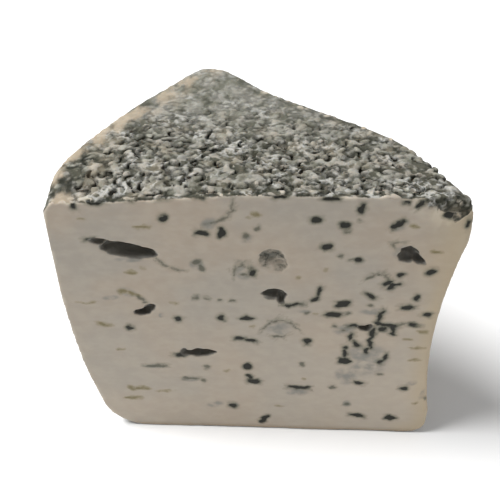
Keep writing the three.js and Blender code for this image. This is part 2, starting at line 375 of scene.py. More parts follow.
# Thin open cracks, as points that each one runs through
FRONT_CRACKS = (
    ((44.2, 82.6), (43.6, 79.6), (42.2, 78.0), (40.6, 76.5), (38.6, 75.8)),
    ((25.0, 65.0), (26.4, 63.3), (28.4, 62.3), (30.6, 61.8)),
    ((83.0, 70.0), (82.4, 70.8), (83.0, 71.6), (84.6, 71.7)),
    ((77.6, 60.2), (79.6, 61.4), (81.6, 61.1), (82.9, 59.4)),
    ((53.0, 43.0), (54.6, 44.7), (57.2, 45.0), (59.4, 44.0), (61.0, 42.3)),
    ((44.2, 60.4), (44.7, 62.8), (46.4, 63.8), (48.2, 62.8), (48.9, 60.9)),
    ((51.6, 41.6), (52.8, 43.2), (54.2, 44.4)),
    ((54.6, 39.2), (56.4, 38.7), (57.6, 39.4)),
    ((86.6, 44.6), (89.0, 44.9), (91.8, 44.6)),
)


class Face:
    """A cut face: where it starts in plan, its directions along, inward and up, its length."""

    def __init__(self, start, along, inward, length):
        self.start = np.array((*start, 0.0))
        self.axes = np.array(((*along, 0.0), (*inward, 0.0), (0.0, 0.0, 1.0)))
        self.length = length


def ellipsoid(face, along, up, width, height, tilt, depth):
    """A mark: its centre, the matrix that makes it the unit ball, and its longest radius."""
    turn = math.radians(tilt)
    spin = np.array(
        ((math.cos(turn), 0, math.sin(turn)), (0, 1, 0), (-math.sin(turn), 0, math.cos(turn)))
    )
    radii = np.array((width / 2, depth, height / 2))
    centre = face.start + along * face.axes[0] + up * face.axes[2]
    return centre, (spin @ face.axes) / radii[:, None], float(radii.max())


def inside_mark(mark, x, y, z):
    """How far inside a mark each point is, in millimetres, with a minus outside it."""
    centre, matrix, _ = mark
    near = x - centre[0], y - centre[1], z - centre[2]
    ball, slope = 0, 0
    for row in matrix:
        along = (row[0] * near[0] + row[1] * near[1] + row[2] * near[2]) ** 2
        ball = ball + along
        slope = slope + along * (row @ row)
    ball = np.sqrt(ball)
    return ball * (1 - ball) / np.maximum(np.sqrt(slope), 1e-6)


def crack_marks(face, points):
    """A crack as a chain of thin ellipsoids."""
    marks = []
    for start, end in zip(points, points[1:]):
        along, up = end[0] - start[0], end[1] - start[1]
        length = math.hypot(along, up) * CRACK_OVERLAP
        tilt = math.degrees(math.atan2(up, along))
        middle = (start[0] + end[0]) / 2, (start[1] + end[1]) / 2
        marks.append(ellipsoid(face, *middle, length, CRACK_WIDTH, tilt, MARK_DEPTH))
    return marks


def scattered(face, count, rng, widths, depth):
    """Marks at random on a face, mostly lying flat, each as deep as depth times its width."""
    marks = []
    for _ in range(count):
        along = rng.uniform(SCATTER["start"], face.length)
        up = rng.uniform(SCATTER["foot"], WHEEL_HEIGHT - SCATTER["top"])
        width = rng.uniform(*widths)
        height = width * rng.uniform(*SCATTER["flat"])
        tilt = rng.normal(0, SCATTER["tilt"])
        marks.append(ellipsoid(face, along, up, width, height, tilt, depth * width))
    return marks


# Each face starts at its left end, seen from outside
FRONT = Face((-WHEEL_RADIUS, 0), (1, 0), (0, 1), WHEEL_RADIUS)
SECOND = Face(
    (CUT_OFFSET * math.sin(CUT_ANGLE), CUT_OFFSET * math.cos(CUT_ANGLE)),
    (-math.cos(CUT_ANGLE), math.sin(CUT_ANGLE)),
    (-math.sin(CUT_ANGLE), -math.cos(CUT_ANGLE)),
    96,
)
TIP = Face(
    (0, 0),
    (-math.sin(TIP_HEADING), math.cos(TIP_HEADING)),
    (-math.cos(TIP_HEADING), -math.sin(TIP_HEADING)),
    36,
)

SECOND_HOLES = (
    (86, 58, 9.0, 3.6, 9, 4.0),
    (79, 27, 6.0, 2.8, -14, 3.0),
    (68, 66, 4.4, 3.2, 20, 2.6),
    (62, 44, 12.0, 4.0, -6, 4.5),
    (55.5, 42.6, 5.0, 2.2, -28, 3.0),
    (49, 21, 7.5, 2.6, 4, 3.0),
    (43, 60, 5.4, 3.0, -25, 3.0),
    (34, 36, 3.6, 2.0, 10, 2.0),
)


# Marks at random: their kind, face, number, least and greatest width, and depth for their width
SCATTERED = (
    ("filled", SECOND, 5, (3.5, 6.5), 0.15),
    ("mould", SECOND, 95, (1.0, 3.6), 0.4),
    ("mould", TIP, 30, (1.0, 3.0), 0.4),
    ("faint", SECOND, 40, (1.0, 3.6), 0.4),
    ("stain", SECOND, 26, (1.5, 5.0), 0.3),
    ("stain", TIP, 18, (1.5, 5.0), 0.3),
    ("haze", SECOND, 22, (4.0, 13.0), 0.4),
    ("haze", TIP, 6, (4.0, 9.0), 0.4),
)


def placed(sizes, depth):
    """Marks of the front cut that have one depth."""
    return [ellipsoid(FRONT, *size, depth) for size in sizes]


def all_marks():
    """Every mark of the paste, by its kind."""
    marks = {
        "hole": [ellipsoid(FRONT, *size) for size in FRONT_HOLES],
        "filled": placed(FRONT_FILLED, MARK_DEPTH),
        "mould": placed(FRONT_MOULD, MARK_DEPTH),
        "faint": placed(FRONT_FAINT, MARK_DEPTH),
        "stain": placed(FRONT_STAINS, MARK_DEPTH),
        "haze": placed(FRONT_HAZE, HAZE_DEPTH),
    }
    marks["hole"] += [ellipsoid(SECOND, *size) for size in SECOND_HOLES]
    for points in FRONT_CRACKS:
        marks["faint"] += crack_marks(FRONT, points)
    rng = np.random.default_rng(SEED)
    for kind, face, count, widths, depth in SCATTERED:
        marks[kind] += scattered(face, count, rng, widths, depth)
    return marks


def ragged(x, y, z, seed, reach=RAGGED["reach"]):
    """Moves points about a little, so that the edges of marks aren't smooth."""
    moved = []
    for axis, value in enumerate((x, y, z)):
        rows = z * RAGGED["flat"]
        wander = noise(x, y, rows, RAGGED["size"], seed + 10 * axis, octaves=2)
        moved.append(value + reach * wander)
    return moved


# ----------------------------------------
# The rind's curd beads


def rind_field(x, y, z):
    return Wedge(x, y, z).rind()


def outward(x, y, z, step=0.3):
    """The rind's outward direction at some points."""
    slopes = []
    for shift in np.eye(3) * step:
        ahead = rind_field(x + shift[0], y + shift[1], z + shift[2])
        behind = rind_field(x - shift[0], y - shift[1], z - shift[2])
        slopes.append(ahead - behind)
    normal = np.stack(slopes, -1)
    return normal / np.maximum(np.linalg.norm(normal, axis=-1, keepdims=True), 1e-6)


def tip_wall(faces):
    """1 on the wall of the tip, which is paste, and 0 where the rind wraps over its corners."""
    wall = smoothstep(-1.5, 1.5, faces.tip - np.maximum(faces.top, faces.bottom - 3.0) - 4.0)
    return wall * smoothstep(-10, -6, faces.tip)


def curved_wall(faces):
    """1 on the curved side, well below the shoulder."""
    return smoothstep(1.5, 6, faces.side - faces.top)


def calmer(share, low, high, value):
    """1 below low, and less by a share above high."""
    return 1 - share * smoothstep(low, high, value)


def groove_depth(faces):
    """How deep the gaps between beads go: less by the cuts, down the side and under the base."""
    base = calmer(*CALM_FOOT, faces.bottom)
    side = 1 - CALM_SIDE * curved_wall(faces)
    edge = calmer(*CALM_CUT, np.maximum(faces.front, faces.second))
    back = calmer(*CALM_BACK, -faces.front) * calmer(*CALM_SHOULDER, faces.side)
    return GROOVE * base * side * edge * back * (1 - tip_wall(faces))


def rind_places(rng):
    """Places at random all over the rind, a little under its surface."""
    span = HIGH - LOW + 2 * BEAD_UNDER
    places = CORNER - BEAD_UNDER + rng.uniform(size=(BEAD_TRIES, 3)) * span
    faces = Wedge(*places.T)
    near = np.abs(faces.rind() + BEAD_UNDER) < BEAD_NEAR
    rough = groove_depth(faces) > GROOVE * 0.2
    places = places[near & (faces.cut() < BEAD_PAST_CUT) & rough]
    depth = rind_field(*places.T)[:, None]
    return places - outward(*places.T) * (depth + BEAD_UNDER)


def pick_beads():
    """Places for the beads: the large ones first, then smaller ones between them."""
    rng = np.random.default_rng(SEED + 1)
    x, y, z = rind_places(rng).T
    cells, chosen = {}, []
    reach = 2 * BEAD_SIZES[0][1]
    for least, most, tries in BEAD_SIZES:
        order = rng.integers(0, len(x), tries)
        for index, radius in zip(order, rng.uniform(least, most, tries)):
            place = (float(x[index]), float(y[index]), float(z[index]))
            key = tuple(int(value // reach) for value in place)
            if all(
                math.dist(place, other) > BEAD_SPACING * (radius + size)
                for i in (-1, 0, 1)
                for j in (-1, 0, 1)
                for k in (-1, 0, 1)
                for other, size in cells.get((key[0] + i, key[1] + j, key[2] + k), ())
            ):
                cells.setdefault(key, []).append((place, radius))
                chosen.append((*place, radius))
    return np.array(chosen)


def bead_marks():
    """Each bead as a squashed ball that lies in the rind, longer one way than the other."""
    beads = pick_beads()
    rng = np.random.default_rng(SEED + 2)
    normals = outward(beads[:, 0], beads[:, 1], beads[:, 2])
    depths = rind_field(beads[:, 0], beads[:, 1], beads[:, 2])
    marks = []
    for (px, py, pz, radius), normal, depth in zip(beads, normals, depths):
        flat = rng.uniform(*BEAD_FLAT)
        sunk = BEAD_SUNK * rng.uniform(0, 1) ** 2 - BEAD_RAISED
        stretch = rng.uniform(*BEAD_STRETCH)
        side = np.cross(normal, rng.normal(size=3))
        side /= np.linalg.norm(side)
        across = np.cross(normal, side)
        radii = np.array((radius * stretch, radius / stretch**0.5, radius * flat))
        centre = np.array((px, py, pz)) - normal * (depth + radii[2] + sunk)
        matrix = np.array((side, across, normal)) / radii[:, None]
        marks.append((centre, matrix, float(radii.max())))
    return marks


def crescents(beads):
    """Gaps round one side of some beads: each is the bead and a larger ball, moved aside."""
    rng = np.random.default_rng(SEED + 4)
    size = CRESCENT["size"]
    pairs = []
    for bead in beads:
        turn = rng.uniform(0, 2 * math.pi)
        if rng.uniform() < CRESCENT["share"]:
            centre, matrix, most = bead
            aside = np.linalg.inv(matrix) @ (math.cos(turn), math.sin(turn), CRESCENT["tilt"])
            moved = centre + CRESCENT["shift"] * aside
            pairs.append((bead, (moved, matrix / size, most * CRESCENT["reach"])))
    return pairs


# ----------------------------------------
# The voxel field and its mesh


class Voxels:
    """A block of voxels round the wedge, and the places of its points."""

    def __init__(self):
        low = CORNER - FIELD_MARGIN
        high = low + (HIGH - LOW) + 2 * FIELD_MARGIN
        self.axes = [np.arange(a, b, VOXEL, dtype=np.float32) for a, b in zip(low, high)]
        self.low = np.array([axis[0] for axis in self.axes])
        x, y, z = self.axes
        self.plain = plain_field(x[:, None, None], y[None, :, None], z[None, None, :])
        self.shell = np.nonzero(np.abs(self.plain) < SHELL)
        self.places = np.meshgrid(*self.axes, indexing="ij")
        self.warped = [place.copy() for place in self.places]
        moved = ragged(*self.shell_points(), SEED + 50, BEAD_WARP)
        for place, value in zip(self.warped, moved):
            place[self.shell] = value

    def shell_points(self):
        return [axis[index] for axis, index in zip(self.axes, self.shell)]

    def block(self, mark, extra):
        """The slices of the block round a mark, or None where it is outside."""
        centre, _, most = mark
        slices = []
        for axis, value in zip(self.axes, centre):
            first = int(np.searchsorted(axis, value - most - extra))
            last = int(np.searchsorted(axis, value + most + extra))
            if first >= last:
                return None
            slices.append(slice(first, last))
        return tuple(slices)

    def sample(self, field, points):
        """A field's values at some points, blended between the voxels round each one."""
        scaled = (points - self.low) / VOXEL
        low = np.clip(np.floor(scaled).astype(int), 0, np.array(field.shape) - 2)
        part = scaled - low
        total = 0
        for corner in range(8):
            step = np.array([corner >> axis & 1 for axis in range(3)])
            weight = np.prod(np.where(step == 1, part, 1 - part), axis=1)
            total = total + weight * field[tuple((low + step).T)]
        return total


def curd_field(voxels, beads):
    """The distance to the nearest bead, and which bead that is."""
    field = np.full(voxels.plain.shape, SHELL, np.float32)
    owner = np.full(voxels.plain.shape, -1, np.int32)
    for number, bead in enumerate(beads):
        block = voxels.block(bead, 1.0)
        if block is None:
            continue
        places = [place[block] for place in voxels.warped]
        distance = -inside_mark(bead, *places).astype(np.float32)
        closer = distance < field[block]
        field[block][closer] = distance[closer]
        owner[block][closer] = number
    return field, owner


def soften(field):
    """Blurs a field a little along each axis."""
    for axis in range(3):
        field = (np.roll(field, 1, axis) + 2 * field + np.roll(field, -1, axis)) / 4
    return field


def gap_field(voxels, pairs):
    """How far inside a crescent-shaped gap each voxel is."""
    field = np.full(voxels.plain.shape, -SHELL, np.float32)
    for bead, outer in pairs:
        block = voxels.block(outer, 0.6)
        if block is None:
            continue
        places = [place[block] for place in voxels.warped]
        inside = np.minimum(inside_mark(outer, *places), -inside_mark(bead, *places))
        field[block] = np.maximum(field[block], inside)
    return field


def build_field(voxels, marks):
    """The detailed wedge as one block of distances, with its beads and the gaps by them."""
    x, y, z = voxels.shell_points()
    faces = Wedge(x, y, z)
    rind = faces.rind()
    groove = groove_depth(faces)
    beads = bead_marks()
    curd, owner = curd_field(voxels, beads)
    curd = soften(curd)
    gaps = gap_field(voxels, crescents(beads))
    roll = waves(x, y, z, CURD_ROLL, SEED + 20)
    share = groove / GROOVE
    lumpy = blend_low(curd[voxels.shell], rind + groove + roll * share, BEAD_FUSED)
    lumpy = -blend_low(-lumpy, 1.6 * (1 - share) - gaps[voxels.shell], CRESCENT_EDGE)
    lumpy = fillet(lumpy, rind - BEAD_WEAR["above"], BEAD_WEAR["round"])
    lumpy = np.where(groove > LEAST_GROOVE, lumpy, rind)
    field = voxels.plain.copy()
    sliced = faces.cut() + waves(x, y, z, KNIFE_WAVES, SEED + 22)
    field[voxels.shell] = fillet(lumpy, sliced, KNIFE_EDGE)
    for mark in marks["hole"]:
        carve(voxels, field, mark, EYE_EDGE)
    for mark in marks["filled"]:
        carve(voxels, field, mark, FILLED_EDGE)
    return field, owner, {"gap": gaps, "core": -curd}


def carve(voxels, field, mark, softness):
    """Hollows a mark out of the field, with a soft edge."""
    block = voxels.block(mark, 1.5)
    places = [place[block] for place in voxels.places]
    hollow = inside_mark(mark, *ragged(*places, SEED + 30))
    field[block] = -blend_low(-field[block], -hollow, softness)


def largest_piece(points, quads):
    """Keeps only the faces that hang together with the most points."""
    labels = np.arange(len(points))
    ends = np.concatenate([quads[:, (i, (i + 1) % 4)] for i in range(4)])
    while True:
        least = np.minimum(labels[ends[:, 0]], labels[ends[:, 1]])
        before = labels.copy()
        np.minimum.at(labels, ends[:, 0], least)
        np.minimum.at(labels, ends[:, 1], least)
        labels = labels[labels]
        if np.array_equal(before, labels):
            break
    keep = labels == np.bincount(labels).argmax()
    renumber = np.cumsum(keep) - 1
    return points[keep], renumber[quads[keep[quads[:, 0]]]]


def mesh_field(voxels, field):
    """The points and four-sided faces of the field's surface."""
    grid = openvdb.FloatGrid(SHELL)
    grid.copyFromArray(np.clip(field, -SHELL, SHELL).astype(np.float32))
    points, quads = grid.convertToQuads(isovalue=0.0)
    points, quads = largest_piece(points * VOXEL + voxels.low, quads.astype(np.int64))
    return points, quads[:, ::-1]


# ----------------------------------------
# What each vertex tells the material


def most_inside(marks, points):
    """The greatest inside_mark of many marks at some points."""
    best = np.full(len(points), -SHELL)
    moved = np.stack(ragged(*points.T, SEED + 30), -1)
    for mark in marks:
        near = np.abs(moved - mark[0]).max(1) < mark[2] + MARK_REACH
        found = inside_mark(mark, *moved[near].T)
        best[near] = np.maximum(best[near], found)
    return best


def haze_at(marks, points):
    """Soft clouds: 1 in the middle of a haze mark, 0 at its edge."""
    cloud = np.zeros(len(points))
    for centre, matrix, most in marks:
        near = np.abs(points - centre).max(1) < most
        ball = (((points[near] - centre) @ matrix.T) ** 2).sum(1)
        cloud[near] = np.maximum(cloud[near], np.clip(1 - ball, 0, 1))
    return cloud


def vertex_values(points, voxels, owner, fields, marks):
    """What the material asks for at each point, by name."""
    x, y, z = points.T
    faces = Wedge(x, y, z)
    rind = faces.rind()
    knife = np.maximum(faces.front, faces.second)
    cell = np.rint((points - voxels.low) / VOXEL).astype(int)
    cell = np.clip(cell, 0, np.array(owner.shape) - 1)
    bead = owner[tuple(cell.T)]
    tints = np.random.default_rng(SEED + 3).uniform(0, 1, owner.max() + 2)
    return {
        "rind": rind - np.maximum(knife, -4) - 8 * tip_wall(faces),
        "gap": voxels.sample(fields["gap"], points),
        "core": voxels.sample(fields["core"], points),
        "tint": tints[bead],
        "shoulder": smoothstep(-13, -4, faces.side) * (1 - curved_wall(faces)),
        "side": curved_wall(faces),
        "ochre": smoothstep(-13, -2, faces.tip) * smoothstep(-8, -1, rind),
        # paler paste towards the bottom and the right
        "lower_right": smoothstep(75, 10, z) * (0.3 + 0.7 * smoothstep(-70, -5, x)),
        "back": smoothstep(15, 60, y),
        "low": 1 - smoothstep(0.3, 2.2, z),
        "haze": haze_at(marks["haze"], points),
        **{kind: most_inside(marks[kind], points) for kind in EDGED_MARKS},
    }


# ----------------------------------------
# The map that patterns are baked through: each face of the wedge laid flat

SHEET = 240
SHEET_GAP = 3
SHEET_PLACES = ((0, 0), (104, 0), (0, 90), (48, 90), (0, 178), (104, 178))


def lay_flat(points, quads):
    """A place on the sheet for every corner of every face."""
    middle = points[quads].mean(1)
    faces = Wedge(*middle.T)
    sides = (faces.front, faces.second, faces.tip, faces.side, faces.top, faces.bottom)
    which = np.argmax(np.stack(sides), 0)
    corner = points[quads]
    x, y, z = corner[..., 0], corner[..., 1], corner[..., 2]
    arc = (math.pi - np.arctan2(y, x)) * WHEEL_RADIUS
    along_second = (corner - SECOND.start) @ SECOND.axes[0]
    along_tip = (corner - TIP.start) @ TIP.axes[0]
    laid = ((x, z), (along_second, z), (along_tip, z), (arc, z), (x, y), (x, -y))
    uv = np.zeros((*quads.shape, 2))
    for number, (flat, place) in enumerate(zip(laid, SHEET_PLACES)):
        mine = which == number
        if mine.any():
            for axis in range(2):
                values = flat[axis][mine]
                uv[mine, :, axis] = values - values.min() + place[axis] + SHEET_GAP
    return uv / SHEET


def make_mesh(points, quads, values):
    """The mesh, with its values for the material and its map."""
    mesh = bpy.data.meshes.new(NODE)
    mesh.vertices.add(len(points))
    mesh.vertices.foreach_set("co", ((points + WHEEL_AXIS) * MM).astype(np.float32).ravel())
    mesh.loops.add(quads.size)
    mesh.loops.foreach_set("vertex_index", quads.astype(np.int32).ravel())
    mesh.polygons.add(len(quads))
    mesh.polygons.foreach_set("loop_start", np.arange(0, quads.size, 4, dtype=np.int32))
    mesh.update(calc_edges=True)
    mesh.validate()
    mesh.shade_smooth()
    normals = np.zeros(len(points) * 3, np.float32)
    mesh.vertex_normals.foreach_get("vector", normals)
    for name, numbers in {**values, "up": normals[2::3]}.items():
        layer = mesh.attributes.new(name, "FLOAT", "POINT")
        layer.data.foreach_set("value", numbers.astype(np.float32))
    flat = mesh.uv_layers.new(name="OFBake")
    flat.uv.foreach_set("vector", lay_flat(points, quads).astype(np.float32).ravel())
    return mesh


# ----------------------------------------
# Materials


class Shader:
    """A short way to write a material's nodes."""

    def __init__(self, name):
        self.material = bpy.data.materials.new(name)
        self.material.use_nodes = True
        self.tree = self.material.node_tree
        self.surface = self.tree.nodes["Principled BSDF"]
        place = self.tree.nodes.new("ShaderNodeTexCoord")
        self.place = place.outputs["Object"]

    def link(self, socket, value):
        """Sets a socket to a value, or joins it to another socket."""
        if isinstance(value, bpy.types.NodeSocket):
            self.tree.links.new(value, socket)
        elif value is not None:
            socket.default_value = (*value, 1) if isinstance(value, tuple) else value

    def math(self, operation, a, b=None):
        node = self.tree.nodes.new("ShaderNodeMath")
        node.operation = operation
        self.link(node.inputs[0], a)
        self.link(node.inputs[1], b)
        return node.outputs[0]

    def times(self, a, b):
        return self.math("MULTIPLY", a, b)

    def plus(self, a, b):
        return self.math("ADD", a, b)

    def minus(self, a, b):
        return self.math("SUBTRACT", a, b)

    def value(self, name):
        node = self.tree.nodes.new("ShaderNodeAttribute")
        node.attribute_name = name
        return node.outputs["Fac"]

    def step(self, low, high, value):
        """0 at low, 1 at high and smooth between; low may be the greater one."""
        node = self.tree.nodes.new("ShaderNodeMapRange")
        node.interpolation_type = "SMOOTHSTEP"
        self.link(node.inputs["Value"], value)
        self.link(node.inputs["From Min"], low)
        self.link(node.inputs["From Max"], high)
        return node.outputs["Result"]

    def cloud(self, size, detail=2, stretch=(1, 1, 1), roughness=0.5):
        """Noise from 0 to 1 with lumps about size millimetres across."""
        node = self.tree.nodes.new("ShaderNodeMapping")
        node.inputs["Scale"].default_value = [1 / (size * MM * part) for part in stretch]
        self.link(node.inputs["Vector"], self.place)
        texture = self.tree.nodes.new("ShaderNodeTexNoise")
        texture.inputs["Scale"].default_value = 1
        texture.inputs["Detail"].default_value = detail
        texture.inputs["Roughness"].default_value = roughness
        self.link(texture.inputs["Vector"], node.outputs["Vector"])
        return texture.outputs["Fac"]

    def centred(self, size, detail, roughness=0.5):
        """Noise round 0."""
        return self.minus(self.cloud(size, detail, roughness=roughness), 0.5)

    def patches(self, low, high, size, detail=2, stretch=(1, 1, 1)):
        """1 where the noise is above high, 0 where it is below low."""
        return self.step(low, high, self.cloud(size, detail, stretch))

    def ramp(self, value, stops):
        """The colour that a value stands for, blended between stops."""
        node = self.tree.nodes.new("ShaderNodeValToRGB")
        self.link(node.inputs["Fac"], value)
        elements = node.color_ramp.elements
        while len(elements) < len(stops):
            elements.new(1)
        for element, (place, colour) in zip(elements, stops):
            element.position = place
            element.color = (*colour, 1)
        return node.outputs["Color"]

    def mix(self, part, a, b):
        node = self.tree.nodes.new("ShaderNodeMix")
        node.data_type = "RGBA"
        self.link(node.inputs["Factor"], part)
        self.link(node.inputs[6], a)
        self.link(node.inputs[7], b)
        return node.outputs[2]

    def over(self, colour, other, part, strength=1.0):
        """A colour with another one laid over part of it."""
        return self.mix(self.times(part, strength), colour, other)

    def number(self, part, a, b):
        node = self.tree.nodes.new("ShaderNodeMix")
        self.link(node.inputs["Factor"], part)
        self.link(node.inputs[2], a)
        self.link(node.inputs[3], b)
        return node.outputs[0]


PASTE_WARM = (0.346, 0.293, 0.234)
PASTE_COOL = (0.318, 0.287, 0.243)
PASTE_PALE = (0.50, 0.45, 0.37)
# Paler paste towards the bottom and the right
PASTE_LOWER_RIGHT = (0.500, 0.422, 0.332)
PASTE_OCHRE = (0.42, 0.33, 0.20)
PASTE_FOOT = (0.26, 0.20, 0.13)
HAZE = (0.190, 0.190, 0.172)
STAIN = (0.205, 0.172, 0.090)
STAIN_DARK = (0.120, 0.098, 0.035)
MOULD_EDGE = (0.140, 0.135, 0.095)
MOULD_GREY = (0.070, 0.070, 0.050)
MOULD_DARK = (0.012, 0.012, 0.008)
LINING_DARK = (0.030, 0.030, 0.022)
LINING_GREY = (0.100, 0.096, 0.078)
# Painted shade inside the open eyes, and painted light on their floors that face up
HOLLOW_PAINTED_SHADE = (0.120, 0.113, 0.098)
HOLLOW_PAINTED_LIGHT = (0.260, 0.250, 0.220)
# Painted shade in the crescent gaps by the beads
RIND_GAP_SHADE = (0.012, 0.013, 0.008)
# Painted shade where the film lies deep between the beads
RIND_PAINTED_SHADE = (0.040, 0.040, 0.026)
RIND_FILM = (0.180, 0.176, 0.152)
RIND_PALE = (0.310, 0.301, 0.270)
RIND_WISP = (0.390, 0.385, 0.360)
RIND_GRAINS = (
    (0.00, (0.040, 0.040, 0.022)),
    (0.16, (0.085, 0.083, 0.050)),
    (0.34, (0.140, 0.141, 0.105)),
    (0.52, (0.205, 0.195, 0.185)),
    (0.68, (0.265, 0.268, 0.215)),
    (0.82, (0.290, 0.250, 0.200)),
    (0.92, (0.210, 0.205, 0.185)),
    (1.00, (0.340, 0.312, 0.262)),
)
RIND_BACK = (0.270, 0.265, 0.238)
RIND_BACK_DARK = (0.140, 0.140, 0.112)
RIND_CREAM = (0.360, 0.300, 0.222)
RIND_SIDE = (0.275, 0.268, 0.232)
RIND_BLOOM = (0.335, 0.306, 0.250)


# The layers of the paste's marks: the kind of mark, where it starts and is full in millimetres
# from its edge, how rough that edge is, its strength and its colour
MARK_LAYERS = (
    ("stain", -0.5, 0.25, 0.9, 0.7, STAIN),
    ("stain", 0.05, 0.7, 1.2, 0.6, STAIN_DARK),
    ("faint", -0.9, 0.0, 0.9, 0.45, MOULD_EDGE),
    ("faint", -0.35, 0.25, 0.9, 0.75, MOULD_GREY),
    ("mould", -1.4, -0.2, 0.9, 0.55, MOULD_EDGE),
    ("mould", -0.7, -0.05, 0.8, 0.85, MOULD_GREY),
    ("mould", -0.28, 0.05, 0.6, 1.0, MOULD_DARK),
    ("filled", -0.35, 0.05, 0.4, 0.8, MOULD_GREY),
)
SURFACE = {
    "Subsurface Weight": 0.12,
    "Subsurface Radius": (1.0, 0.6, 0.35),
    "Subsurface Scale": 1.5 * MM,
    "Specular IOR Level": 0.2,
}
PASTE_ROUGHNESS = 0.45
RIND_ROUGHNESS = 0.85
BUMP = {"Strength": 0.35, "Distance": 0.25 * MM}


def paste_base(shader):
    """The paste before any mould: soft warm and cool patches, and its edges."""
    colour = shader.mix(shader.patches(0.35, 0.65, 26), PASTE_WARM, PASTE_COOL)
    mottle = shader.patches(0.3, 0.75, 2.2, detail=3, stretch=(1.6, 1.6, 1))
    colour = shader.over(colour, PASTE_PALE, mottle, 0.2)
    near_rind = shader.step(-1.6, -0.2, shader.value("rind"))
    pale = shader.times(near_rind, shader.patches(0.42, 0.62, 5))
    colour = shader.over(colour, PASTE_PALE, pale, 0.8)
    # paler towards the bottom and the right
    colour = shader.over(colour, PASTE_LOWER_RIGHT, shader.value("lower_right"), 0.4)
    colour = shader.over(colour, PASTE_OCHRE, shader.value("ochre"), 0.5)
    return shader.over(colour, PASTE_FOOT, shader.value("low"), 0.8)


def rough_step(shader, rough, name, low, high, wobble):
    """Where a kind of mark is, with a rough edge."""
    return shader.step(low, high, shader.plus(shader.value(name), shader.times(rough, wobble)))


def paste_colour(shader):
    """The paste with haze, stains, mould, mould-lined filled eyes and painted shade in open
    eyes.
    """
    rough = shader.centred(1.1, detail=3, roughness=0.6)
    smoke = shader.patches(0.30, 0.66, 2.6, detail=4, stretch=(1.3, 1.3, 1))
    haze = shader.times(shader.step(0.05, 0.9, shader.value("haze")), smoke)
    colour = shader.over(paste_base(shader), HAZE, haze, 0.85)
    for name, low, high, wobble, strength, tint in MARK_LAYERS:
        layer = rough_step(shader, rough, name, low, high, wobble)
        colour = shader.over(colour, tint, layer, strength)
    filled = rough_step(shader, rough, "filled", -0.15, 0.05, 0.4)
    colour = shader.over(colour, filled_lining(shader), filled)
    # painted shade over the open eyes, with painted light on their floors
    hole = rough_step(shader, rough, "hole", -0.45, 0.0, 0.3)
    return shader.over(colour, painted_hole_shading(shader), hole)


def filled_lining(shader):
    """A fine net of dark mould on grey."""
    net = shader.math("ABSOLUTE", shader.centred(1.9, detail=2))
    return shader.mix(shader.step(0.0, 0.09, net), LINING_DARK, LINING_GREY)


def painted_hole_shading(shader):
    """Painted shade on the wall of an open eye, with painted light where it faces up."""
    # painted light: paler where the eye's wall faces up
    floor = shader.step(-0.2, 0.8, shader.value("up"))
    return shader.mix(floor, HOLLOW_PAINTED_SHADE, HOLLOW_PAINTED_LIGHT)


def rind_colour(shader):
    """A grey film over the curd, painted shade in its gaps, pale threads and a creamy shoulder.
    """
    fuzz = shader.centred(0.8, detail=4, roughness=0.7)
    patchy = shader.centred(5, detail=3)
    beside_cut = shader.step(3.6, 1.0, shader.value("rind"))
    colour = rind_lumps(shader, fuzz, patchy)
    # painted shade between the beads
    colour = shader.over(colour, RIND_PAINTED_SHADE, painted_shade_between_beads(shader, fuzz, patchy, beside_cut), 0.85)
    colour = shader.over(colour, RIND_WISP, threads(shader), 0.9)
    colour = shader.over(colour, RIND_CREAM, shader.patches(0.50, 0.66, 7, detail=3), 0.22)
    back = shader.mix(shader.patches(0.40, 0.62, 4.5, detail=4), RIND_BACK_DARK, RIND_BACK)
    colour = shader.over(colour, back, shader.value("back"), 0.75)
    # painted shade in the crescent gaps
    colour = shader.over(colour, RIND_GAP_SHADE, painted_gap_shade(shader, fuzz), 0.9)
    colour = shader.over(colour, PASTE_PALE, sliced_beads(shader, beside_cut), 0.7)
    cream = shader.patches(0.42, 0.60, 5, detail=4, stretch=(1, 1.8, 1))
    cream = shader.times(shader.value("shoulder"), cream)
    colour = shader.over(colour, RIND_CREAM, cream, 0.8)
    plain = shader.times(shader.value("side"), shader.patches(0.34, 0.54, 1.8, detail=4))
    bloom = shader.mix(shader.patches(0.42, 0.60, 9, detail=4), RIND_SIDE, RIND_BLOOM)
    return shader.over(colour, bloom, plain, 0.75)


def rind_lumps(shader, fuzz, patchy):
    """The beads' own colours under a grey film."""
    grain = shader.plus(shader.value("tint"), shader.times(patchy, 0.7))
    lumps = shader.ramp(shader.plus(grain, shader.times(fuzz, 0.5)), RIND_GRAINS)
    film = shader.mix(shader.patches(0.38, 0.62, 2.4, detail=5), RIND_FILM, RIND_PALE)
    return shader.mix(0.5, lumps, film)


def painted_shade_between_beads(shader, fuzz, patchy, beside_cut):
    """Painted shade where the film lies deep between the beads."""
    core = shader.plus(shader.value("core"), shader.times(fuzz, 0.5))
    shade = shader.plus(core, shader.times(patchy, 0.9))
    shade = shader.minus(shade, shader.times(beside_cut, 0.12))
    return shader.step(0.05, -0.13, shade)


def threads(shader):
    """Pale lines that wander and close on themselves, in some places more than others."""
    level = shader.math("ABSOLUTE", shader.centred(3.6, detail=3))
    return shader.times(shader.step(0.07, 0.01, level), shader.patches(0.45, 0.62, 9, detail=3))


def painted_gap_shade(shader, fuzz):
    """Painted shade in the crescent gaps by the beads, fainter at the back."""
    gap = shader.plus(shader.value("gap"), shader.times(fuzz, 0.6))
    faded = shader.number(shader.value("back"), 1.0, 0.45)
    return shader.times(shader.step(-0.3, 0.1, gap), faded)


def sliced_beads(shader, beside_cut):
    """Pale beads next to the cuts."""
    sliced = shader.times(beside_cut, shader.step(0.45, 0.6, shader.value("tint")))
    return shader.times(sliced, shader.step(0.0, 0.25, shader.value("core")))


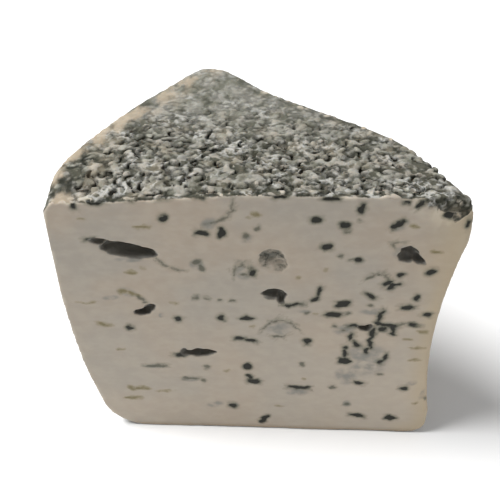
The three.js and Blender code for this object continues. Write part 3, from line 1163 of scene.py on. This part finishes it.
def rind_part(shader):
    """1 on the rind and 0 on the paste, with a rough edge that bare beads push out."""
    bare = shader.step(0.5, 0.6, shader.value("tint"))
    bare = shader.times(bare, shader.step(0.0, 0.3, shader.value("core")))
    bare = shader.times(bare, shader.minus(1.0, shader.value("side")))
    edge = shader.times(shader.centred(1.6, detail=3), 1.2)
    edge = shader.minus(edge, shader.times(bare, 1.6))
    return shader.step(-0.5, 0.1, shader.plus(shader.value("rind"), edge))


def add_bump(shader, rind):
    """Faint drag lines of the knife on the paste, and a fine grain on the rind."""
    drag = shader.cloud(1.0, detail=2, stretch=(14, 14, 0.6))
    grain = shader.cloud(0.55, detail=3)
    bump = shader.tree.nodes.new("ShaderNodeBump")
    for name, value in BUMP.items():
        bump.inputs[name].default_value = value
    shader.link(bump.inputs["Height"], shader.number(rind, shader.times(drag, 0.25), grain))
    shader.link(shader.surface.inputs["Normal"], bump.outputs["Normal"])


def cheese_material():
    shader = Shader("cheese")
    surface = shader.surface
    rind = rind_part(shader)
    colour = shader.mix(rind, paste_colour(shader), rind_colour(shader))
    shader.link(surface.inputs["Base Color"], colour)
    roughness = shader.number(rind, PASTE_ROUGHNESS, RIND_ROUGHNESS)
    shader.link(surface.inputs["Roughness"], roughness)
    for name, value in SURFACE.items():
        surface.inputs[name].default_value = value
    add_bump(shader, rind)
    return shader.material


def make_cheese():
    marks = all_marks()
    voxels = Voxels()
    field, owner, fields = build_field(voxels, marks)
    points, quads = mesh_field(voxels, field)
    values = vertex_values(points, voxels, owner, fields, marks)
    cheese = bpy.data.objects.new("blue_cheese", make_mesh(points, quads, values))
    bpy.context.scene.collection.objects.link(cheese)
    cheese.data.materials.append(cheese_material())
    return cheese


# ----------------------------------------
# The studio


FLOOR_SIZE = 6
FLOOR_WHITE = (0.9, 0.9, 0.9, 1)
WORLD_STRENGTH = 0.34
# Places in metres
LAMPS = {
    "key": {"place": (-0.64, -0.01, 1.06), "size": 0.62, "watts": 22},
    "fill": {"place": (0.70, -0.70, 0.20), "size": 0.60, "watts": 1.3},
}
LAMP_TARGET = (0, 0, 0.04)
CAMERA_PLACE = (-46.9, -134.0, 173.1)  # in millimetres from the wheel's axis
CAMERA_DOWN = 38
CAMERA_TURN = 2.1
CAMERA_LENS = 50.4


def make_floor():
    bpy.ops.mesh.primitive_plane_add(size=FLOOR_SIZE)
    floor = bpy.context.object
    floor.name = "studio_floor"
    material = bpy.data.materials.new("studio_floor")
    material.use_nodes = True
    surface = material.node_tree.nodes["Principled BSDF"]
    surface.inputs["Base Color"].default_value = FLOOR_WHITE
    surface.inputs["Roughness"].default_value = 0.9
    surface.inputs["Specular IOR Level"].default_value = 0.0
    floor.data.materials.append(material)


def make_lamp(name, place, size, watts):
    lamp = bpy.data.lights.new(name, "AREA")
    lamp.shape = "DISK"
    lamp.size = size
    lamp.energy = watts
    holder = bpy.data.objects.new(name, lamp)
    holder.location = place
    aim = Vector(LAMP_TARGET) - Vector(place)
    holder.rotation_mode = "QUATERNION"
    holder.rotation_quaternion = aim.to_track_quat("-Z", "Y")
    bpy.context.scene.collection.objects.link(holder)


def make_world():
    world = bpy.data.worlds.new("studio")
    world.use_nodes = True
    background = world.node_tree.nodes["Background"]
    background.inputs["Color"].default_value = (1, 1, 1, 1)
    background.inputs["Strength"].default_value = WORLD_STRENGTH
    bpy.context.scene.world = world
    bpy.context.scene.view_settings.view_transform = "Standard"


def make_camera():
    camera = bpy.data.objects.new("camera", bpy.data.cameras.new("camera"))
    camera.data.lens = CAMERA_LENS
    camera.data.clip_start = 0.01
    camera.location = (WHEEL_AXIS + CAMERA_PLACE) * MM
    camera.rotation_euler = (math.radians(90 - CAMERA_DOWN), 0, math.radians(CAMERA_TURN))
    bpy.context.scene.collection.objects.link(camera)
    bpy.context.scene.camera = camera


make_camera()
make_world()
make_floor()
for name, lamp in LAMPS.items():
    make_lamp(name, **lamp)
cheese = make_cheese()
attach(cheese, "root")
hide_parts(NODE)
